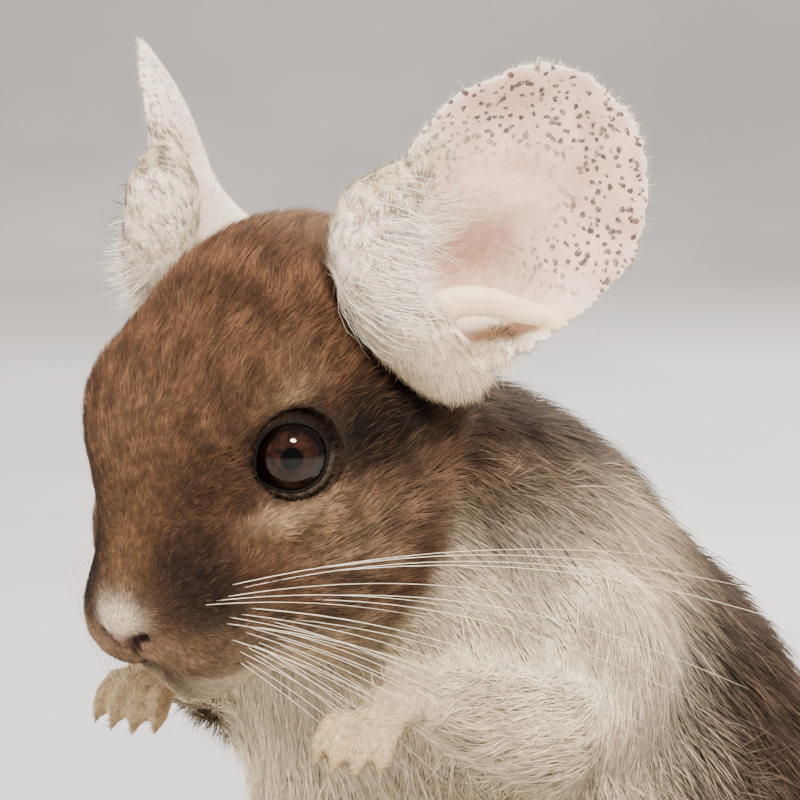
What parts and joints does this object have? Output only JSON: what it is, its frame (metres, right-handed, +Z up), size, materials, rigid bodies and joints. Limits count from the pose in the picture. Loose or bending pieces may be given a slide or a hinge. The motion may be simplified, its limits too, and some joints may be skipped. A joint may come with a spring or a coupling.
{
  "type": "chinchilla",
  "caption": "Life-size still model of a chinchilla sitting on its haunches, forepaws held under its chin and ears spread.",
  "frame": {"origin": "on the floor, at the middle of the bottom of the whole animal's box", "axes": "+Z up; the body faces -Y with its left side towards +X, and the tail lies towards +Y"},
  "size_m": [0.1332, 0.2534, 0.1968],
  "materials": {
    "dark_fur": "dense soft coat, matte",
    "pale_fur": "short soft coat, matte",
    "ear_skin": "thin bare skin, satin",
    "eye": "wet gloss",
    "claw": "satin horn",
    "whisker": "stiff pale hair"
  },
  "bodies": {
    "root": {"head": "dark_fur", "eye_left": "eye", "eye_right": "eye", "ear_left": "ear_skin", "ear_right": "ear_skin", "neck": "dark_fur", "torso": "dark_fur", "upper_arm_left": "pale_fur", "upper_arm_right": "pale_fur", "forearm_left": "pale_fur", "forearm_right": "pale_fur", "forepaw_left": "pale_fur", "forepaw_right": "pale_fur", "hindleg_left": "dark_fur", "hindleg_right": "dark_fur", "hindfoot_left": "pale_fur", "hindfoot_right": "pale_fur", "tail_base": "dark_fur", "tail_middle": "dark_fur", "tail_tip": "dark_fur"}
  },
  "joints": []
}
